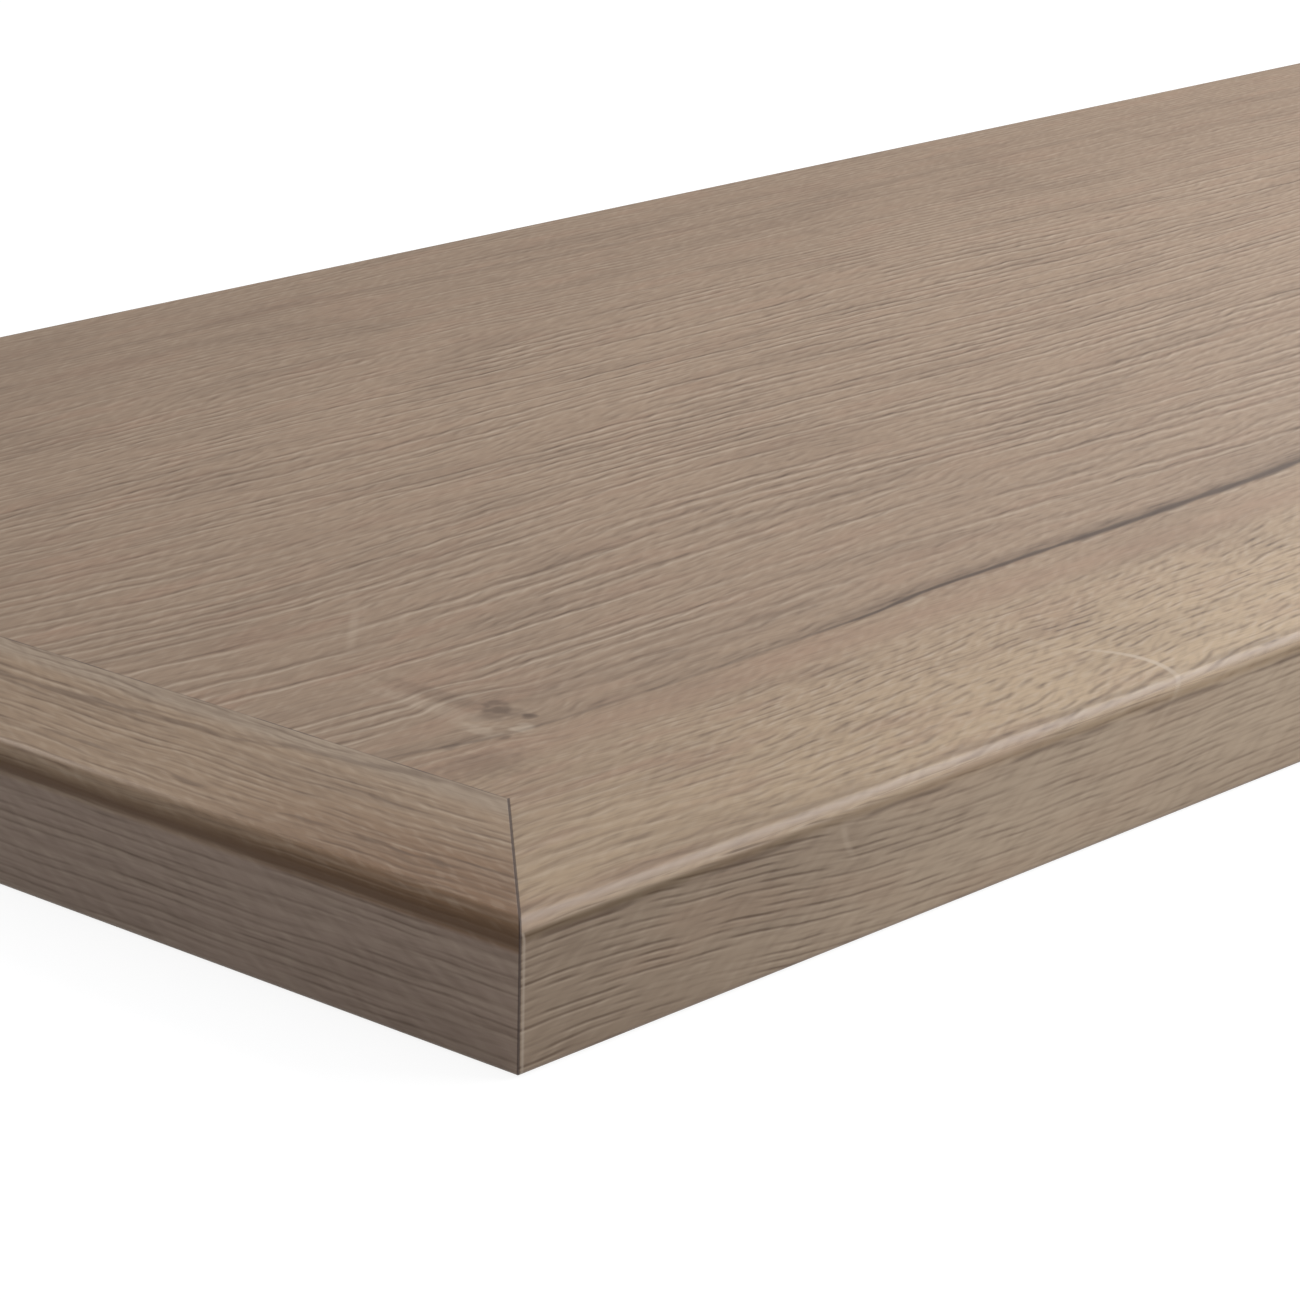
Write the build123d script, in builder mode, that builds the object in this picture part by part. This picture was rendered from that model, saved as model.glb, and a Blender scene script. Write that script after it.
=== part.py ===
from build123d import *
import os

# Stair tread of laminated board with one open end, stored lying flat.
# The laminate is formed over the top of the front edge in one piece. The left end is closed
# by a return, a strip of the same board with the same formed edge, which meets the front
# edge in a mitre. X runs along the tread, the front edge faces -Y and Z is up. The origin is
# on the underside, in the middle of the outline.

# Driving dimensions in millimetres
tread_length = 1300.0    # along the front edge, with the return
tread_depth = 380.0      # from the front edge to the rear edge
board_thickness = 28.0
return_width = 46.0      # from the outer face of the return to its glue joint
nose_radius = 3.5        # bend of the laminate from the walking face into the edge
arris_radius = 1.3       # small rounding between the edge and the underside

# Outline of the tread in plan
left = -tread_length / 2
right = tread_length / 2
front = -tread_depth / 2
rear = tread_depth / 2

# The mitre runs at 45 degrees from the front corner to the glue joint of the return
seam_x = left + return_width
mitre_y = front + return_width

# The main board: grain along X, mitred at its front left corner
with BuildPart() as tread_board:
    with BuildSketch(Plane.XY):
        with BuildLine():
            Polyline(
                (left, front),
                (right, front),
                (right, rear),
                (seam_x, rear),
                (seam_x, mitre_y),
                close=True,
            )
        make_face()
    extrude(amount=board_thickness)
    top_edges = tread_board.edges().filter_by(Axis.X).group_by(Axis.Z)[-1]
    fillet(top_edges.sort_by(Axis.Y)[0], radius=nose_radius)
    bottom_edges = tread_board.edges().filter_by(Axis.X).group_by(Axis.Z)[0]
    fillet(bottom_edges.sort_by(Axis.Y)[0], radius=arris_radius)

# The return: grain along Y, the same formed edge turned round the corner
with BuildPart() as end_return:
    with BuildSketch(Plane.XY):
        with BuildLine():
            Polyline(
                (left, front),
                (seam_x, mitre_y),
                (seam_x, rear),
                (left, rear),
                close=True,
            )
        make_face()
    extrude(amount=board_thickness)
    top_edges = end_return.edges().filter_by(Axis.Y).group_by(Axis.Z)[-1]
    fillet(top_edges.sort_by(Axis.X)[0], radius=nose_radius)
    bottom_edges = end_return.edges().filter_by(Axis.Y).group_by(Axis.Z)[0]
    fillet(bottom_edges.sort_by(Axis.X)[0], radius=arris_radius)

os.makedirs("parts", exist_ok=True)
tread_board.part.label = "tread_board"
end_return.part.label = "end_return"
export_step(tread_board.part, "parts/tread_board.step")
export_step(end_return.part, "parts/end_return.step")
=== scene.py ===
# %% [markdown]
# # A laminated stair tread
# This lesson dresses a stair tread that already exists as a precise solid model. The tread is
# a flat board covered with an oak-pattern laminate, which is bent over the front edge, and a
# return, a mitred strip that closes the open left end of the stair. The shape is finished, so
# everything here is about surface: a printed oak pattern that runs round the bend, two glue
# joints, the sawn chipboard ends, the balancing paper below, and the light.

# %% Load the solid model
import math

import bpy
from mathutils import Matrix, Vector


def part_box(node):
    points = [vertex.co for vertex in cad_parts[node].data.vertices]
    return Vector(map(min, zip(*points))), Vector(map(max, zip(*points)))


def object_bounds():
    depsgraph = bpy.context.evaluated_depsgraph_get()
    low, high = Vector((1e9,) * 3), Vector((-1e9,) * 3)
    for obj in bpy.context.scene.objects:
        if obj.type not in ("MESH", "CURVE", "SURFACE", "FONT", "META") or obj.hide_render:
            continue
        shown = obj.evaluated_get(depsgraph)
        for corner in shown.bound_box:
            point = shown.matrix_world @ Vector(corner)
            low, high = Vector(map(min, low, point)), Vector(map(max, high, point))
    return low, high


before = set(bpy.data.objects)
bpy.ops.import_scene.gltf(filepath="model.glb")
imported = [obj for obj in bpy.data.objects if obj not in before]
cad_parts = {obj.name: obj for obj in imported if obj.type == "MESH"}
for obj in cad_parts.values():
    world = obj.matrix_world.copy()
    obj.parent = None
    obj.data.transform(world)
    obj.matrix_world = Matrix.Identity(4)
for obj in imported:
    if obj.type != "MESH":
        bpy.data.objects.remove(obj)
solid_low, solid_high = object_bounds()
board_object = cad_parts["tread_board"]
return_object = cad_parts["end_return"]
print("pieces:", sorted(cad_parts), "box:", tuple(solid_low), tuple(solid_high))

# %% [markdown]
# The pattern is laid out in millimetres from the edges of the tread, because that is how a
# joiner would measure it. The solid model gives every edge that is needed, so nothing is
# typed twice: the mitre, for one, starts where the return ends.

# %% Measure the tread
MM = 1000.0
left, front, underside = solid_low
right, rear, walking_face = solid_high
thickness = walking_face - underside
return_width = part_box("end_return")[1].x - left
print("tread in mm:", [round(MM * v, 1) for v in (right - left, rear - front, thickness, return_width)])

# %% [markdown]
# Shader maths reads best as plain arithmetic. `Wire` wraps one socket of a material and lets
# Python's operators add the Math nodes, so `1 - mask` or `tone * 0.5` builds the tree. All
# other nodes come from one method, `Shader.node`, which takes the node's type, its settings
# and the values or wires for its inputs.

# %% A small language for materials
SEED_STRIDE = 37.3


class Wire:
    """One socket of a material, with arithmetic that adds Math nodes."""

    def __init__(self, shader, socket):
        self.shader = shader
        self.socket = socket

    def math(self, operation, other=0.0, reflected=False):
        """One Math node, with this wire first or, in a reflected one, second."""
        first, second = (other, self) if reflected else (self, other)
        return self.shader.node("ShaderNodeMath", {"operation": operation}, {0: first, 1: second})

    def __add__(self, other):
        return self.math("ADD", other)

    def __sub__(self, other):
        return self.math("SUBTRACT", other)

    def __rsub__(self, other):
        return self.math("SUBTRACT", other, reflected=True)

    def __mul__(self, other):
        return self.math("MULTIPLY", other)

    def __truediv__(self, other):
        return self.math("DIVIDE", other)

    def __rtruediv__(self, other):
        return self.math("DIVIDE", other, reflected=True)

    __radd__ = __add__
    __rmul__ = __mul__

    def __neg__(self):
        return self.math("MULTIPLY", -1.0)

    def __abs__(self):
        return self.math("ABSOLUTE")

    def at_least(self, other):
        return self.math("MAXIMUM", other)

    def at_most(self, other):
        return self.math("MINIMUM", other)

    def above(self, level):
        """1 above the level, 0 up to it."""
        return self.math("GREATER_THAN", level)


class Shader:
    """A material that is being built, with helpers for the nodes this lesson uses."""

    def __init__(self, name):
        self.material = bpy.data.materials.new(name)
        self.material.use_nodes = True
        self.nodes = self.material.node_tree.nodes
        self.links = self.material.node_tree.links
        self.nodes.clear()

    def node(self, kind, settings=None, inputs=None, output=0):
        made = self.nodes.new(kind)
        for name, value in (settings or {}).items():
            setattr(made, name, value)
        for name, value in (inputs or {}).items():
            if isinstance(value, Wire):
                self.links.new(value.socket, made.inputs[name])
            else:
                made.inputs[name].default_value = value
        return None if output is None else Wire(self, made.outputs[output])

    def position(self):
        """The three object coordinates of a surface point, in millimetres."""
        place = self.node("ShaderNodeTexCoord", output="Object")
        split = self.node("ShaderNodeSeparateXYZ", inputs={"Vector": place}).socket.node
        return [Wire(self, split.outputs[axis]) * MM for axis in "XYZ"]

    def noise(self, along, across, seed, detail=0.0):
        """Flat noise from 0 to 1 whose features are one unit long in both directions."""
        spot = self.node("ShaderNodeCombineXYZ", inputs={"X": along + seed * SEED_STRIDE, "Y": across})
        return self.node(
            "ShaderNodeTexNoise",
            {"noise_dimensions": "2D", "normalize": True},
            {"Vector": spot, "Scale": 1.0, "Detail": detail, "Roughness": 0.55},
            output="Fac",
        )

    def drift(self, along, across, size, reach, seed, detail=0.0):
        """A push of up to reach either way, in swells of the given length and width."""
        length, width = size
        return self.noise(along / length, across / width, seed, detail) * (2 * reach) - reach

    def rescale(self, value, start, end, first, last, shape="LINEAR"):
        """first at start and last at end, held beyond both."""
        return self.node(
            "ShaderNodeMapRange",
            {"interpolation_type": shape, "clamp": True},
            {"Value": value, "From Min": start, "From Max": end, "To Min": first, "To Max": last},
        )

    def step(self, value, start, end, top=1.0):
        """0 before start, top after end, with a smooth change between them."""
        return self.rescale(value, start, end, 0.0, top, "SMOOTHSTEP")

    def fall(self, value, start, end, top=1.0):
        """top before start, 0 after end."""
        return self.rescale(value, start, end, top, 0.0, "SMOOTHSTEP")

    def bell(self, value, centre, width, top=1.0):
        """top at the centre, fading to 0 at width on each side."""
        return self.fall(abs(value - centre), 0.0, width, top)

    def mix(self, amount, first, second):
        """The second colour laid over the first, as strongly as amount says."""
        settings = {"data_type": "RGBA", "blend_type": "MIX", "clamp_factor": True}
        made = self.node("ShaderNodeMix", settings, {"Factor": amount}).socket.node
        for place, colour in ((6, first), (7, second)):
            if isinstance(colour, Wire):
                self.links.new(colour.socket, made.inputs[place])
            else:
                made.inputs[place].default_value = colour
        return Wire(self, made.outputs[2])

    def curve(self, value, points):
        """A smooth curve through points, each a value and the result there."""
        first, last = points[0][0], points[-1][0]
        low = min(result for _, result in points)
        high = max(result for _, result in points)
        share = self.rescale(value, first, last, 0.0, 1.0)
        ramp = self.node("ShaderNodeValToRGB", {}, {"Fac": share}).socket.node
        stops = ramp.color_ramp
        stops.interpolation = "CARDINAL"
        while len(stops.elements) < len(points):
            stops.elements.new(0.5)
        for stop, (place, result) in zip(stops.elements, points):
            stop.position = (place - first) / (last - first)
            grey = (result - low) / (high - low)
            stop.color = (grey, grey, grey, 1.0)
        return self.rescale(Wire(self, ramp.outputs["Color"]), 0.0, 1.0, low, high)

    def surface(self, colour, roughness, height, relief_mm, specular):
        """One principled shader with a bump; specular is a plain number."""
        relief = {"Strength": 1.0, "Distance": relief_mm / MM, "Height": height}
        bump = self.node("ShaderNodeBump", {}, relief)
        return self.node(
            "ShaderNodeBsdfPrincipled",
            {},
            {
                "Base Color": colour,
                "Roughness": roughness,
                "Specular IOR Level": specular,
                "Normal": bump,
            },
        )

    def close(self, whole):
        """Send a finished shader to the material's output."""
        self.node("ShaderNodeOutputMaterial", {}, {"Surface": whole}, output=None)


def paint(red, green, blue):
    """A screen colour of 0 to 255 as the linear colour that a shader takes."""
    linear = [((level / 255 + 0.055) / 1.055) ** 2.4 for level in (red, green, blue)]
    return (*linear, 1.0)


print("material helpers ready")

# %% [markdown]
# The laminate is printed paper under a clear resin, pressed with a fine relief. The print
# shows oak. Its most regular feature is growth lines: dark and thin, with a pale edge in front,
# and each line breaks off and starts again. Stretched noise alone makes soft smears, so the
# lines are counted instead: the distance across the grain is divided into turns, the whole
# number names the line, and one noise value for each line decides where it shows. `along` and
# `across` are millimetres on the unrolled sheet, so the pattern crosses the bend without a
# break.

# %% The growth lines
LINE_STRIDE = 3.7
LINE_SHOWS = (0.34, 0.64)
DARK_PLACE, DARK_REACH = 0.56, 0.29
PALE_PLACE, PALE_REACH = 0.25, 0.26


def growth_lines(shader, along, grain, spacing, length, seed):
    """How dark and how pale a spot is, for lines of one spacing and length."""
    turn = grain / spacing
    line = turn.math("FLOOR")
    place = turn.math("FRACT")
    life = shader.noise(along / length, line * LINE_STRIDE, seed, detail=1.0)
    strength = shader.step(life, *LINE_SHOWS)
    dark = shader.bell(place, DARK_PLACE, DARK_REACH, top=strength)
    pale = shader.bell(place, PALE_PLACE, PALE_REACH, top=strength)
    return dark, pale


print("lines: dark at", DARK_PLACE, "pale at", PALE_PLACE, "of their spacing")

# %% [markdown]
# A whole print needs two sets of lines. Long ones stand where the saw met the pores at a low
# angle, and short ticks where it met them steeply. Both wander, and small ripples put a kink
# into them every few millimetres, or the board would look like corduroy. Under them lie soft
# clouds, fine fibre and a faint slanted shimmer. The formed faces are the same sheet, but
# there the ticks are closer, longer and straighter. The sheet is first described by how dark
# and how pale each spot is, and coloured after that, so that the board and the return can
# share the print and still differ in colour.

# %% The printed oak
PORE = paint(96, 75, 58)
PALE = paint(198, 179, 158)
LONG_SPACING, LONG_LENGTH = 4.7, 80
CROWDED_FROM, CROWDING = 150, 0.0025
WANDER = (200, 55)
KINK, KINK_REACH = (15, 7), 0.85
SWAY, SWAY_REACH = (34, 20), 2.2
FACE_STRAIGHTER, FACE_CLOSER, FACE_LONGER = 0.68, 1.2, 10
FIBRE = (11, 0.75)
CLOUD = (70, 12)
SHIMMER, SHIMMER_SLANT = (6, 1.4), 0.4
DARKENS = {"long": 0.47, "short": 0.62, "fibre": 0.20, "cloud": 0.15, "shimmer": 0.09, "torn": 0.09}
BRIGHTENS = {"long": 0.46, "short": 0.34, "shimmer": 0.11, "torn": 0.16}
PRESSED = {"long": 0.8, "short": 0.6}


def under_print(shader, along, across, grain, seed):
    """The three noises that lie under the lines: fibre, slanted shimmer and cloud."""
    rising = along + across * SHIMMER_SLANT
    falling = across - along * SHIMMER_SLANT
    fibre = shader.noise(along / FIBRE[0], grain / FIBRE[1], seed, detail=1.0)
    shimmer = shader.noise(rising / SHIMMER[0], falling / SHIMMER[1], seed + 2)
    cloud = shader.noise(along / CLOUD[0], grain / CLOUD[1], seed + 4, detail=1.0)
    return fibre, shimmer, cloud


def oak_print(shader, along, across, seed, flow, face, torn, long_share, short_share, ticks):
    """How dark and how pale the print is, and how deep its pores are pressed.

    flow moves the grain sideways, face is 1 on a formed face, torn says how strong the
    shimmer is, the shares say how strong the two sets of lines are, and ticks gives the
    spacing, the length and the lean of the short ones; they lean on the walking face only.
    """
    livelier = 1 - face * FACE_STRAIGHTER
    kinks = shader.drift(along, across, KINK, KINK_REACH, seed + 2, detail=1.0) * livelier
    grain = across + flow + kinks
    crowded = (grain - CROWDED_FROM).at_least(0.0)
    spread = grain + crowded * crowded * CROWDING
    long_dark, long_pale = growth_lines(shader, along, spread, LONG_SPACING, LONG_LENGTH, seed + 4)

    spacing, length, lean = ticks
    sway = shader.drift(along, across, SWAY, SWAY_REACH, seed + 6) * livelier
    leaning = grain + sway - along * across.above(0.0) * lean
    spacing = spacing - face * FACE_CLOSER
    length = length + face * FACE_LONGER
    short_dark, short_pale = growth_lines(shader, along, leaning, spacing, length, seed + 8)
    fibre, shimmer, cloud = under_print(shader, along, across, grain, seed + 10)

    dark = long_dark * long_share * DARKENS["long"] + short_dark * short_share * DARKENS["short"]
    dark = dark + shader.step(fibre, 0.40, 0.80, DARKENS["fibre"])
    dark = dark + shader.step(cloud, 0.45, 0.75, DARKENS["cloud"])
    dark = dark + shader.step(shimmer, 0.50, 0.85, DARKENS["shimmer"] + torn * DARKENS["torn"])
    pale = long_pale * long_share * BRIGHTENS["long"] + short_pale * short_share * BRIGHTENS["short"]
    pale = pale + shader.fall(shimmer, 0.18, 0.48, BRIGHTENS["shimmer"] + torn * BRIGHTENS["torn"])
    depth = long_dark * long_share * PRESSED["long"] + short_dark * short_share * PRESSED["short"]
    return dark, pale, depth


print("print ready: long lines", LONG_SPACING, "mm apart, each about", LONG_LENGTH, "mm long")

# %% [markdown]
# The sawn ends show the board itself: chipboard, coarse in the middle and fine near the
# faces, with the laminate as a thin dark line on top and balancing paper below. Voronoi
# cells, squeezed flat, stand for the pressed chips.

# %% The sawn core and the balancing paper
CHIP = paint(176, 148, 110)
CHIP_DARK = paint(128, 98, 66)
CHIP_LIGHT = paint(206, 182, 144)
LAMINATE_EDGE = paint(70, 54, 44)
PAPER = paint(148, 126, 102)
PAPER_GREY = paint(138, 126, 114)
LAMINATE_SHEET = 0.7
PAPER_SHEET = 0.3
CHIP_SIZE = (3.4, 1.1)
DUST_SIZE = (0.8, 0.5)
MOTTLE_SIZE = (30, 22)
FLECK_SIZE = (1.6, 1.1)


def sawn_core(shader, run, height):
    """The shader of a sawn chipboard edge; run goes along the cut, height is from below."""
    board = thickness * MM
    middle = shader.bell(height, board / 2, board / 2 - 1)
    spot = shader.node("ShaderNodeCombineXYZ", inputs={"X": run / CHIP_SIZE[0], "Y": height / CHIP_SIZE[1]})
    chips = shader.node(
        "ShaderNodeTexVoronoi",
        {"voronoi_dimensions": "2D", "feature": "F1"},
        {"Vector": spot, "Scale": 1.0, "Randomness": 1.0},
        output="Color",
    )
    tone = shader.node("ShaderNodeSeparateColor", inputs={"Color": chips})
    dust = shader.noise(run / DUST_SIZE[0], height / DUST_SIZE[1], 5.0, detail=2.0)
    colour = shader.mix(shader.step(tone, 0.15, 1.0) * middle * 0.75, CHIP, CHIP_DARK)
    colour = shader.mix(shader.step(dust, 0.4, 0.75) * 0.45, colour, CHIP_LIGHT)
    skin = shader.step(height, board - LAMINATE_SHEET - 0.1, board - LAMINATE_SHEET)
    colour = shader.mix(skin, colour, LAMINATE_EDGE)
    colour = shader.mix(shader.fall(height, PAPER_SHEET, PAPER_SHEET + 0.1), colour, LAMINATE_EDGE)
    relief = dust * 0.5 - tone * middle * 0.6
    return shader.surface(colour, 0.85, relief, relief_mm=0.25, specular=0.2)


def balancing_paper(shader, x, y):
    """The shader of the brown paper that keeps the board flat, with its faint mottling."""
    mottle = shader.noise(x / MOTTLE_SIZE[0], y / MOTTLE_SIZE[1], 21.0, detail=3.0)
    fleck = shader.noise(x / FLECK_SIZE[0], y / FLECK_SIZE[1], 23.0)
    colour = shader.mix(mottle * 0.6, PAPER, PAPER_GREY)
    colour = shader.mix(shader.step(fleck, 0.55, 0.75) * 0.3, colour, CHIP_DARK)
    return shader.surface(colour, 0.7, fleck, relief_mm=0.02, specular=0.25)


print("sheets in mm: laminate", LAMINATE_SHEET, "paper", PAPER_SHEET)

# %% [markdown]
# Both pieces are laminate on top and on the formed faces, paper below and sawn board where
# they were cut, so one function closes both materials. The three finishes are whole shaders,
# joined by Mix Shader nodes, because the renderer then skips the finishes that a spot doesn't
# show. A soft lacquer gloss is enough for the bend to catch the lamps.

# %% Where each finish shows
SAW_EDGE = 0.05
LACQUER = {"roughness": 0.44, "relief_mm": 0.03, "specular": 0.3}
PORE_ROUGHNESS = 0.12


def dress(target, shader, place, colour, depth):
    """Close a piece's material and put it on: printed laminate, sawn board and paper."""
    x, y, z = place
    end = shader.step(x, right * MM - SAW_EDGE, right * MM - SAW_EDGE / 2)
    back = shader.step(y, rear * MM - SAW_EDGE, rear * MM - SAW_EDGE / 2)
    below = shader.fall(z, SAW_EDGE / 2, SAW_EDGE)
    roughness = LACQUER["roughness"] + depth * PORE_ROUGHNESS
    printed = shader.surface(colour, roughness, -depth, LACQUER["relief_mm"], LACQUER["specular"])
    run = x * (1 - end) + y * end
    sawn = sawn_core(shader, run, z)
    paper = balancing_paper(shader, x, y)
    cut = shader.node("ShaderNodeMixShader", {}, {0: end.at_least(back), 1: printed, 2: sawn})
    whole = shader.node("ShaderNodeMixShader", {}, {0: below, 1: cut, 2: paper})
    shader.close(whole)
    target.data.materials.clear()
    target.data.materials.append(shader.material)


print("sawn within", SAW_EDGE, "mm of the cut planes")

# %% [markdown]
# Two glue joints show on the walking face. The mitre is a crisp dark line, which goes on down
# the corner of the two faces. The straight joint behind it is so tight that only the grain
# tells it, and a hairline that is stronger here and there. Both come from the distance to the
# plane of the joint, so each piece paints its own half and they meet exactly.

# %% The glue joints
JOINT = paint(66, 52, 48)
MITRE_EDGE_HIGHLIGHT = paint(190, 174, 158)
MITRE_LINE, MITRE_STRENGTH = (0.22, 0.48), 0.80
HAIRLINE, HAIRLINE_STRENGTH = (0.05, 0.35), 0.25
HAIRLINE_PATCH, PATCH_STRENGTH = 18, 0.40
JOINTS_OVERLAP = 0.3


def add_joints(shader, place, colour):
    """Lay both joints over the print; the mitre line comes back too, because it is a groove."""
    x, y, _ = place
    from_left = x - left * MM
    from_front = y - front * MM
    width = return_width * MM
    before = shader.fall(from_front, width, width + JOINTS_OVERLAP)
    mitre = shader.fall(abs(from_left - from_front), *MITRE_LINE, before)
    patches = shader.noise(y / HAIRLINE_PATCH, 0.0, 31.0)
    strength = HAIRLINE_STRENGTH + shader.step(patches, 0.42, 0.6, PATCH_STRENGTH)
    behind = shader.step(from_front, width - JOINTS_OVERLAP, width, strength)
    straight = shader.fall(abs(from_left - width), *HAIRLINE, behind)
    colour = shader.mix(mitre * MITRE_STRENGTH, colour, JOINT)
    return shader.mix(straight, colour, JOINT), mitre


print("joint planes at", round(MM * (left + return_width), 1), "mm")

# %% [markdown]
# The board is the large piece. It grows darker towards the mitred end, and its front face darker
# still near the corner: this is painted shade, standing for the key lamp's light falling off there.
# It is paler and more straw-like along the front, where the ticks are. Small pink patches lie all
# over it, and a pink band runs behind the ticks. All of it is painted by a spot's distance in
# millimetres from the front left corner, as every mark on the board is.

# %% The colour of the board
OAK = paint(161, 136, 113)
OAK_STRAW = paint(191, 165, 133)
# A deeper oak tone: the print's own at the rear, painted shade towards the mitred end, and the darker
# bottom strip.
OAK_DEEP_AND_SHADE = paint(140, 117, 96)
OAK_PINK = paint(161, 129, 106)
FACE_OAK = paint(175, 156, 137)
FACE_CORNER_SHADE = paint(132, 112, 93)
TICK_ZONE = (40.0, 74.0)
LONG_ZONE = (72.0, 98.0)
CALM_BAND = (64.0, 9.0)
SOFT_REAR = (250.0, 345.0)
STRAW_FRONT = (10, 92, 0.85)
# Painted shade: the board darkens towards the mitred end, where less of the key lamp's light falls; the
# deeper rear is the print's own tone.
LEFT_SHADE, DEEP_REAR = (-30, 250, 0.42), 0.50
FACE_BEGINS, FACE_TINT = (-4, -1), 0.7
# Painted shade on the front face near the corner.
CORNER_REACH, CORNER_SHADE = (0, 125), 0.6
PINK_BAND, PINK_SPOTS, PINK_LEFT = 0.46, 0.30, (60, 220, 0.22)
PINK_SIZE = (42, 9)


def board_ground(shader, along, across, soft):
    """The colour of the print before its lines, with painted shade towards the mitred end and the corner of
    the front face.
    """
    colour = shader.mix(shader.fall(across, *STRAW_FRONT), OAK, OAK_STRAW)
    # Painted shade towards the mitred end.
    colour = shader.mix(shader.fall(along, *LEFT_SHADE), colour, OAK_DEEP_AND_SHADE)
    colour = shader.mix(soft * DEEP_REAR, colour, OAK_DEEP_AND_SHADE)
    on_face = shader.fall(across, *FACE_BEGINS)
    colour = shader.mix(on_face * FACE_TINT, colour, FACE_OAK)
    # Painted shade on the front face, darker towards the corner.
    colour = shader.mix(shader.fall(along, *CORNER_REACH, on_face * CORNER_SHADE), colour, FACE_CORNER_SHADE)
    colour = shader.mix(shader.bell(across, *CALM_BAND, PINK_BAND), colour, OAK_PINK)
    patches = shader.noise(along / PINK_SIZE[0], across / PINK_SIZE[1], 41.0, detail=1.0)
    strength = (PINK_SPOTS + shader.fall(along, *PINK_LEFT)) * (1 - on_face * 0.6)
    return shader.mix(shader.step(patches, 0.48, 0.76, strength), colour, OAK_PINK)


print("ground colours ready")

# %% [markdown]
# Landmarks that noise would never make by itself come on top. At a small knot the grain parts
# round an old branch, so two things make it: the lines are pushed aside, and spots are laid
# over them. Each spot is an ellipse with its place, size, colour and strength in a table.

# %% The knot
KNOT = (83.0, 82.0)
KNOT_SWELLING, KNOT_PUSH = (9, 14), 3.5
MITRE_PUSH = (10, 120, 6.0)
KNOT_MARKS = (
    ((81.5, 81.5), (7.0, 6.4), PORE, 0.36),
    ((82.4, 83.2), (3.5, 3.3), PORE, 0.62),
    ((85.2, 86.4), (3.2, 3.0), PORE, 0.66),
    ((84.3, 76.6), (2.4, 2.3), PORE, 0.92),
    ((78.4, 72.4), (3.8, 2.4), PALE, 0.58),
    ((71.5, 77.5), (3.2, 6.0), PALE, 0.30),
    ((71.0, 70.7), (2.8, 1.1), PORE, 0.60),
    ((60.0, 74.2), (3.6, 1.6), PORE, 0.52),
    ((75.0, 94.0), (4.2, 24.0), PALE, 0.18),
    ((81.2, 99.0), (4.2, 18.0), PORE, 0.28),
    ((57.0, 62.0), (15.0, 9.0), PORE, 0.30),
)


def knot_flow(shader, along, across):
    """How far the knot and the mitred end push the grain towards the front."""
    wide = (along - KNOT[0]) / KNOT_SWELLING[0]
    tall = (across - KNOT[1]) / KNOT_SWELLING[1]
    parting = shader.fall(wide * wide + tall * tall, 0.2, 3.0, KNOT_PUSH)
    side = (across - KNOT[1]) / (abs(across - KNOT[1]) + 3.0)
    return shader.step(along, *MITRE_PUSH) - parting * side


def add_knot(shader, along, across, colour):
    """Lay the knot's spots over the print; each is a soft ellipse with a ragged rim."""
    spot = shader.node("ShaderNodeCombineXYZ", {}, {"X": along, "Y": across})
    ragged = shader.drift(along, across, (2.2, 1.8), 0.35, 43.0)
    for centre, size, tone, strength in KNOT_MARKS:
        away = shader.node("ShaderNodeVectorMath", {"operation": "SUBTRACT"}, {0: spot, 1: (*centre, 0)})
        away = shader.node("ShaderNodeVectorMath", {"operation": "DIVIDE"}, {0: away, 1: (*size, 1)})
        reach = shader.node("ShaderNodeVectorMath", {"operation": "LENGTH"}, {0: away}, output="Value")
        colour = shader.mix(shader.fall(reach + ragged, 0.25, 1.05, strength), colour, tone)
    return colour


print("knot at", KNOT, "mm with", len(KNOT_MARKS), "marks")

# %% [markdown]
# A drying crack starts faint near the knot, opens and closes again. It follows a curve through
# points. The rays are short pale arcs, one of them at the bend, and a dark line runs near the
# rear edge. All are drawn by how far a spot is from the curve, which keeps their edges crisp.

# %% The crack and the rays
CRACK_LINE = ((46, 77.8), (62, 74.0), (76, 71.4), (112, 70.8), (160, 71.9), (188, 73.1), (203, 75.2),
              (240, 76.4), (293, 77.6), (350, 80.2), (520, 86.0))
CRACK_OPENS = (150, 192)
CRACK_CLOSES = (400, 520)
SPLIT = paint(64, 45, 32)
REAR_LINE = ((180, 351), (258, 353), (292, 356), (358, 350), (442, 346.7), (560, 350), (800, 353))
RAY, RAY_BEND, RAY_STRENGTH = (199.8, 15.5), 0.029, 0.75
SLANT_RAY, SLANT_LEAN, SLANT_STRENGTH = (101.0, 141.0), 1.08, 0.17
FACE_RAY, FACE_LEAN, FACE_BEND, FACE_STRENGTH = (87.5, -7.0), 0.45, 0.06, 0.24


def crack_shape(shader, along, across):
    """How much of the dark split, of its soft shade and of its lit lip is at a point."""
    above = across - shader.curve(along, CRACK_LINE)
    opened = shader.step(along, *CRACK_OPENS) * shader.fall(along, *CRACK_CLOSES)
    uneven = shader.noise(along / 11, 0.0, 45.0) + 0.4
    wider = shader.step(along, 180, 340, 0.9) + 0.7
    faint = shader.fall(along, *CRACK_OPENS, 0.32) * uneven
    split = shader.fall(abs(above) / (uneven * wider), 0.2, 1.6, opened * 0.82 + faint)
    shade = shader.bell(above, 1.8, 4.4, opened * 0.42 + faint * 0.7)
    lit = shader.bell(above, -2.2, 1.6, opened * 0.4) * shader.step(uneven, 0.9, 1.05)
    return split, shade, lit


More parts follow.
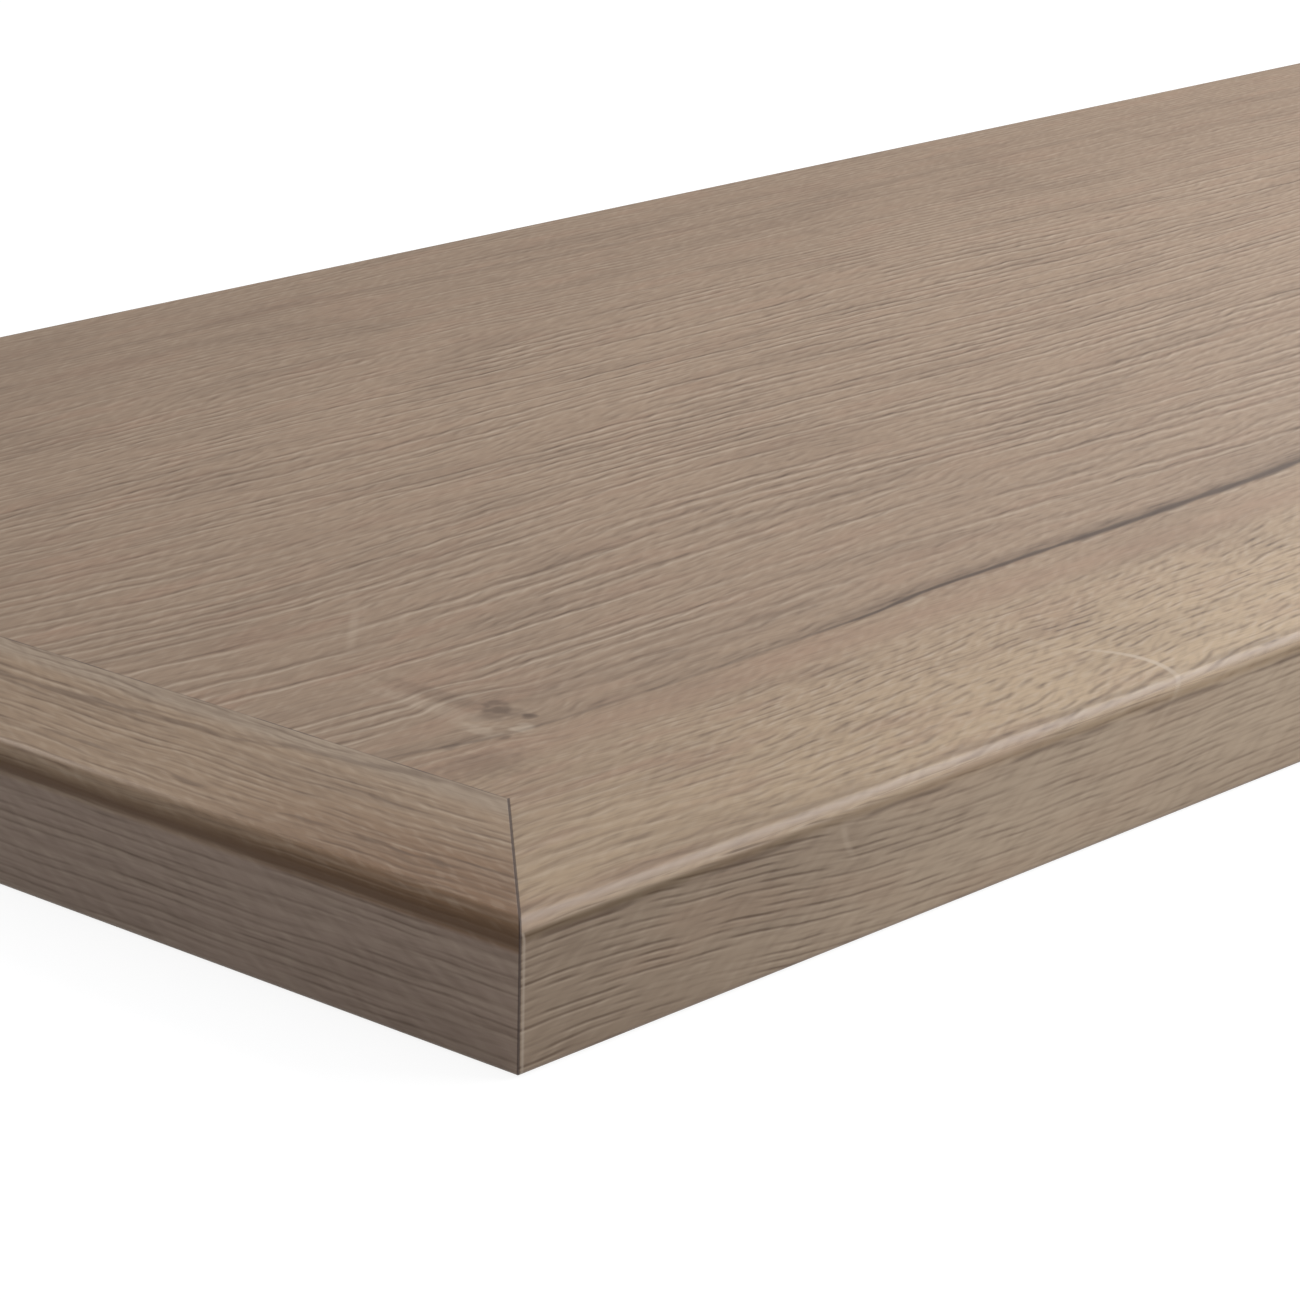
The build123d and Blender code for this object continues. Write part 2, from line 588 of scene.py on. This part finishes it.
def add_rays(shader, along, across, colour):
    """Lay the pale rays and the long dark line near the rear edge over the print."""
    lifted = across - RAY[1]
    sideways = abs(along - RAY[0] + lifted * lifted * RAY_BEND)
    there = shader.bell(across, 12.0, 24.0, RAY_STRENGTH)
    colour = shader.mix(shader.fall(sideways, 0.3, 1.3, there), colour, PALE)
    climb = across - SLANT_RAY[1]
    sideways = abs(along - SLANT_RAY[0] - climb * SLANT_LEAN)
    there = shader.fall(abs(climb), 2, 16, SLANT_STRENGTH)
    colour = shader.mix(shader.fall(sideways, 0.4, 2.2, there), colour, PALE)
    drop = across - FACE_RAY[1]
    sideways = abs(along - FACE_RAY[0] + drop * FACE_LEAN - drop * drop * FACE_BEND)
    there = shader.fall(abs(drop), 1.0, 5.5, FACE_STRENGTH)
    colour = shader.mix(shader.fall(sideways, 0.1, 1.5, there), colour, PALE)
    from_line = abs(across - shader.curve(along, REAR_LINE))
    there = shader.step(along, 170, 240, 0.22) * shader.fall(along, 600, 800)
    return shader.mix(shader.fall(from_line, 0.4, 2.6, there), colour, PORE)


print("crack opens at", CRACK_OPENS, "and closes at", CRACK_CLOSES)

# %% [markdown]
# The bend itself leaves marks. The laminate was heated and folded there, so the print is
# greyer where it was stretched, with a thin dark line just before it on the walking face. Where
# the bend ends on the front a dark olive band lies, stronger near the mitre, over a broken crease:
# partly the laminate's browning, partly painted shade on the lower part of the bend.

# %% The marks of the bend
OLIVE_AND_SHADE = paint(80, 59, 30)
FOLD_GREY = paint(158, 139, 125)
FOLD_START = 4.4
FOLD_MIDDLE = 1.5
FOLD_END = -2.3
CREASE = -3.5


def add_fold(shader, along, across, z, colour):
    """Lay the fold's lines and a darker strip along the bottom of the front face over the print."""
    wobble = shader.drift(along, 0.0, (16, 1), 1.0, 47.0)
    broken = shader.noise(along / 22, 0.0, 49.0)
    begins = across + wobble * 0.6
    start = shader.bell(begins, FOLD_START, 1.9, shader.step(broken, 0.34, 0.56, 0.20) + 0.16)
    colour = shader.mix(start, colour, PORE)
    colour = shader.mix(shader.bell(across, FOLD_MIDDLE, 2.4, 0.55), colour, FOLD_GREY)
    # The olive band is partly the laminate's browning and partly painted shade.
    olive_and_shade = shader.fall(along, 15, 100, 0.36) + 0.36
    ends = across - shader.step(along, 50, 140, 0.6)
    colour = shader.mix(shader.bell(ends, FOLD_END, 2.1, olive_and_shade), colour, OLIVE_AND_SHADE)
    crease = shader.bell(across + wobble * 0.4, CREASE, 0.9, shader.fall(broken, 0.46, 0.60, 0.62))
    colour = shader.mix(crease, colour, PORE)
    # Darker along the bottom of the front face.
    darker_bottom = shader.fall(z, 0.5, 1.6, shader.fall(across, -20, -10, 0.45))
    return shader.mix(darker_bottom, colour, OAK_DEEP_AND_SHADE)


print("bend lines at", (FOLD_START, FOLD_MIDDLE, FOLD_END, CREASE), "mm from the top of the fold")

# %% [markdown]
# The zones of the board come together here. Ticks fill a band along the front, then comes a
# calm band, and behind it the long lines run to the rear edge, where they soften. Near the
# mitre the long lines reach the front too, and the ticks are fainter there. On the front face
# the ticks fade away from the corner.

# %% The main board
BOARD_SEED = 1.0
BOARD_TICKS = (2.7, 10, 0.13)
BOARD_WANDER = 7
BEND = (-0.8, 0.8)
TORN_ZONE, TORN_FROM = (46, 66), (50, 130)


def board_shares(shader, along, across, face, soft):
    """How strongly the long lines and the short ticks show at a point of the board."""
    near_mitre = shader.step(across, 0, 3, shader.fall(along, 50, 110, 0.5))
    fainter = shader.fall(along, 100, 320, shader.step(across, 110, 190, 0.36))
    long_share = (shader.step(across, *LONG_ZONE) + near_mitre).at_most(1.0)
    long_share = long_share * (1 - soft * 0.55) * (1 - fainter)

    calm = shader.bell(across, *CALM_BAND, 0.7)
    short_share = (0.43 + shader.fall(across, *TICK_ZONE, 0.37)) * (1 - calm) * (1 - soft * 0.5)
    short_share = short_share * (1 - face * shader.step(along, 20, 170, 0.6) + face * 0.3)
    short_share = short_share * (1 - shader.fall(along, 60, 130, 0.5) * (1 - face))
    return long_share, short_share


def board_material():
    shader = Shader("board_laminate_oak")
    place = shader.position()
    x, y, z = place
    along = x - left * MM
    across = y - front * MM + z - walking_face * MM

    soft = shader.step(across, *SOFT_REAR)
    face = shader.fall(across, *BEND)
    torn = shader.fall(across, *TORN_ZONE) * (1 - face) * shader.step(along, *TORN_FROM)
    shares = board_shares(shader, along, across, face, soft)
    wander = shader.drift(along, across, WANDER, BOARD_WANDER, BOARD_SEED) * (1 - face * 0.6)
    flow = knot_flow(shader, along, across) + wander
    facts = (BOARD_SEED, flow, face, torn, *shares, BOARD_TICKS)
    dark, pale, depth = oak_print(shader, along, across, *facts)
    split, shade, lit = crack_shape(shader, along, across)

    colour = board_ground(shader, along, across, soft)
    colour = shader.mix(pale + lit, colour, PALE)
    colour = shader.mix(dark + shade, colour, PORE)
    colour = add_knot(shader, along, across, colour)
    colour = add_rays(shader, along, across, colour)
    colour = shader.mix(split, colour, SPLIT)
    colour = add_fold(shader, along, across, z, colour)

    # A thin pale strip on the front face just right of the mitre: a painted highlight on the mitred edge.
    edge_highlight = shader.bell(along, 1.0, 0.6, shader.fall(y - front * MM, 0.2, 0.6, 0.5))
    colour = shader.mix(edge_highlight, colour, MITRE_EDGE_HIGHLIGHT)
    colour, mitre = add_joints(shader, place, colour)
    dress(board_object, shader, place, colour, depth + mitre)


board_material()
print("board dressed:", len(board_object.data.materials), "material")

# %% [markdown]
# The return is cut from a browner stretch of the same board and turned a quarter, so its
# streaks run from front to back. It was bent and pressed by itself. A dark brown band is painted
# along its outer bend: partly the laminate's browning there, partly painted shade for the dark that
# the rounded edge reflects. A pale line above it is a painted highlight. A bundle of dark streaks
# wanders across it and dies out at the joint.

# %% The return
RETURN_SEED = 60.0
RETURN_TICKS = (2.8, 26, 0.0)
RETURN_WANDER = 2
RETURN_TORN, RETURN_SHARES = 0.3, (0.40, 0.65)
RETURN_OAK = paint(156, 131, 106)
RETURN_BROWN = paint(126, 94, 66)
RETURN_GREY = paint(162, 145, 127)
SIDE_OAK = paint(158, 136, 121)
BROWN_BAND_AND_SHADE = paint(88, 57, 24)
BEND_HIGHLIGHT = paint(196, 178, 166)
BUNDLE = ((40, 46.5), (62, 45.6), (72, 43.5), (82, 40.8), (92, 39.8), (106, 35.6), (122, 34.4), (138, 31.4),
          (170, 30.0), (230, 33.0), (300, 29.0), (380, 31.0))
STREAK = ((0, 14.0), (40, 12.5), (95, 11.3), (150, 14.0), (250, 11.0), (380, 15.0))


def add_streaks(shader, along, across, colour):
    """Lay the wandering bundle and one thinner streak over the return's print."""
    kinks = shader.drift(along, across, (7, 5), 1.1, 71.0)
    broken = shader.noise(along / 13, across / 2.5, 73.0)
    bundle = abs(across + kinks - shader.curve(along, BUNDLE))
    colour = shader.mix(shader.fall(bundle, 0.4, 2.6, shader.step(broken, 0.26, 0.56, 0.50)), colour, PORE)
    streak = abs(across + kinks - shader.curve(along, STREAK))
    return shader.mix(shader.fall(streak, 0.2, 1.4, shader.step(broken, 0.40, 0.60, 0.50)), colour, PORE)


def return_material():
    shader = Shader("return_laminate_oak")
    place = shader.position()
    x, y, z = place
    along = y - front * MM
    across = x - left * MM + z - walking_face * MM
    down = walking_face * MM - z
    face = shader.fall(across, *BEND)
    flow = shader.drift(along, across, WANDER, RETURN_WANDER, RETURN_SEED)
    facts = (RETURN_SEED, flow, face, RETURN_TORN, *RETURN_SHARES, RETURN_TICKS)
    dark, pale, depth = oak_print(shader, along, across, *facts)

    browner = shader.fall(along, 20, 110, shader.fall(across, 12, 34, 0.85))
    colour = shader.mix(browner, RETURN_OAK, RETURN_BROWN)
    colour = shader.mix(shader.step(across, 36, 42, 0.55), colour, RETURN_GREY)
    colour = shader.mix(shader.step(down, 4.6, 6.0, face), colour, SIDE_OAK)
    colour = shader.mix(pale * 0.8, colour, PALE)
    colour = shader.mix(dark, colour, PORE)
    colour = add_streaks(shader, along, across, colour)

    # A pale line along the return's bend, away from the corner: a painted highlight.
    painted_highlight = shader.step(along, 60, 140, 0.32)
    colour = shader.mix(shader.bell(across, 3.2, 1.6, painted_highlight), colour, BEND_HIGHLIGHT)
    # The dark brown band along the outer bend: partly the laminate's browning, partly painted shade for the
    # dark that the rounded edge reflects.
    lowest = down + shader.noise(along / 30, 0.0, 75.0) * 0.8
    brown_band_and_shade = shader.step(down, 0.7, 3.8, shader.fall(across, 0.5, 2.0))
    brown_band_and_shade = brown_band_and_shade * shader.fall(lowest, 4.2, 5.8, 0.95)
    colour = shader.mix(brown_band_and_shade, colour, BROWN_BAND_AND_SHADE)
    colour = shader.mix(shader.fall(z, 0.5, 1.6, face * 0.45), colour, OAK_DEEP_AND_SHADE)

    colour, mitre = add_joints(shader, place, colour)
    dress(return_object, shader, place, colour, depth + mitre)


return_material()
print("return dressed:", len(return_object.data.materials), "material")

# %% [markdown]
# The floor is pale and large. For the lens and for reflections it is white, so that the tread
# stands out as in a catalogue, but it throws less light back than white card would, which
# keeps the left face of the tread in shade. Seen from below it is clear, and so it is for
# light that reaches the underside of the tread, so that side can be looked at too.

# %% The floor
FLOOR_REACH = 60.0
FLOOR_DROP = 0.0002
FLOOR_BOUNCE = (0.50, 0.49, 0.47, 1.0)
FLOOR_SEEN = (0.22, 0.22, 0.22, 1.0)
FLOOR_GLOW = 0.88
FLOOR_CONTACT = (0.0004, 0.0008)


def floor_material():
    shader = Shader("studio_floor")
    path = shader.node("ShaderNodeLightPath").socket.node
    seen = Wire(shader, path.outputs["Is Camera Ray"]) + Wire(shader, path.outputs["Is Glossy Ray"])
    seen = seen + Wire(shader, path.outputs["Is Transmission Ray"])
    card_colour = shader.mix(seen, FLOOR_BOUNCE, FLOOR_SEEN)
    card = shader.node("ShaderNodeBsdfDiffuse", {}, {"Color": card_colour})
    light = shader.mix(seen, (0, 0, 0, 1), (1, 1, 1, 1))
    glow = shader.node("ShaderNodeEmission", {}, {"Color": light, "Strength": FLOOR_GLOW})
    lit = shader.node("ShaderNodeAddShader", {}, {0: card, 1: glow})
    back = shader.node("ShaderNodeNewGeometry", output="Backfacing")
    touching = shader.fall(Wire(shader, path.outputs["Ray Length"]), *FLOOR_CONTACT)
    clear = shader.node("ShaderNodeBsdfTransparent")
    both = shader.node("ShaderNodeMixShader", {}, {0: back.at_least(touching), 1: lit, 2: clear})
    shader.close(both)
    return shader.material


def floor():
    mesh = bpy.data.meshes.new("floor")
    corners = [(-1, -1), (1, -1), (1, 1), (-1, 1)]
    level = underside - FLOOR_DROP
    mesh.from_pydata([(FLOOR_REACH * x, FLOOR_REACH * y, level) for x, y in corners], [], [(0, 1, 2, 3)])
    mesh.materials.append(floor_material())
    made = bpy.data.objects.new("floor", mesh)
    bpy.context.scene.collection.objects.link(made)
    return made


floor()
print("floor laid", FLOOR_DROP * MM, "mm under the tread")

# %% [markdown]
# Light decides how the bend reads. A soft key lamp stands over the far right of the board, so
# the walking face grows darker towards the near left corner and the left face stays in shade.
# A smaller lamp in front lights the front face and draws a pale line along the bend. A wide
# lamp overhead and a dim cool sky fill the rest.

# %% The lamps and the sky
LAMPS = {
    "key": {"place": (0.75, 0.05, 0.95), "aim": (-0.2, -0.05, 0.0), "size": (1.0, 0.9), "power": 11.0},
    "front": {"place": (0.15, -0.85, 0.6), "aim": (-0.2, -0.1, 0.0), "size": (0.6, 0.5), "power": 5.5},
    "overhead": {"place": (0.1, -0.2, 2.2), "aim": (0.0, 0.0, 0.0), "size": (2.2, 1.6), "power": 8.0},
}
SKY = (0.95, 0.97, 1.0)
SKY_STRENGTH = 0.42


def towards(place, aim):
    return (Vector(aim) - Vector(place)).to_track_quat("-Z", "Y")


for name, facts in LAMPS.items():
    lamp = bpy.data.lights.new(name, "AREA")
    lamp.shape = "RECTANGLE"
    lamp.size, lamp.size_y = facts["size"]
    lamp.energy = facts["power"]
    holder = bpy.data.objects.new(name, lamp)
    holder.location = facts["place"]
    holder.rotation_mode = "QUATERNION"
    holder.rotation_quaternion = towards(facts["place"], facts["aim"])
    bpy.context.scene.collection.objects.link(holder)

world = bpy.data.worlds.new("sky")
world.use_nodes = True
sky = world.node_tree.nodes["Background"]
sky.inputs["Color"].default_value = (*SKY, 1.0)
sky.inputs["Strength"].default_value = SKY_STRENGTH
bpy.context.scene.world = world
bpy.context.scene.view_settings.view_transform = "Standard"
print("lamps:", list(LAMPS), "sky strength", SKY_STRENGTH)

# %% [markdown]
# The camera looks down the length of the tread from its front left corner. Its place was
# found by fitting a lens to the straight edges in the picture: the height of the corner is
# the yardstick, and the angles follow from where the edges run.

# %% The camera
CAMERA_FROM_CORNER = (-0.5462, -0.5050, 0.3092)
VIEW_AZIMUTH = 48.85
VIEW_DROP = 17.32
VIEW_ROLL = 1.33
LENS = 129.8

corner = Vector((left, front, underside))
turn = Matrix.Rotation(-math.radians(VIEW_AZIMUTH), 4, "Z")
tilt = Matrix.Rotation(math.radians(90 - VIEW_DROP), 4, "X")
roll = Matrix.Rotation(math.radians(VIEW_ROLL), 4, "Z")
camera_data = bpy.data.cameras.new("camera")
camera_data.lens = LENS
camera_data.clip_end = 200.0
camera = bpy.data.objects.new("camera", camera_data)
camera.matrix_world = Matrix.Translation(corner + Vector(CAMERA_FROM_CORNER)) @ turn @ tilt @ roll
bpy.context.scene.collection.objects.link(camera)
bpy.context.scene.camera = camera
print("camera at", tuple(round(v, 3) for v in camera.matrix_world.translation))
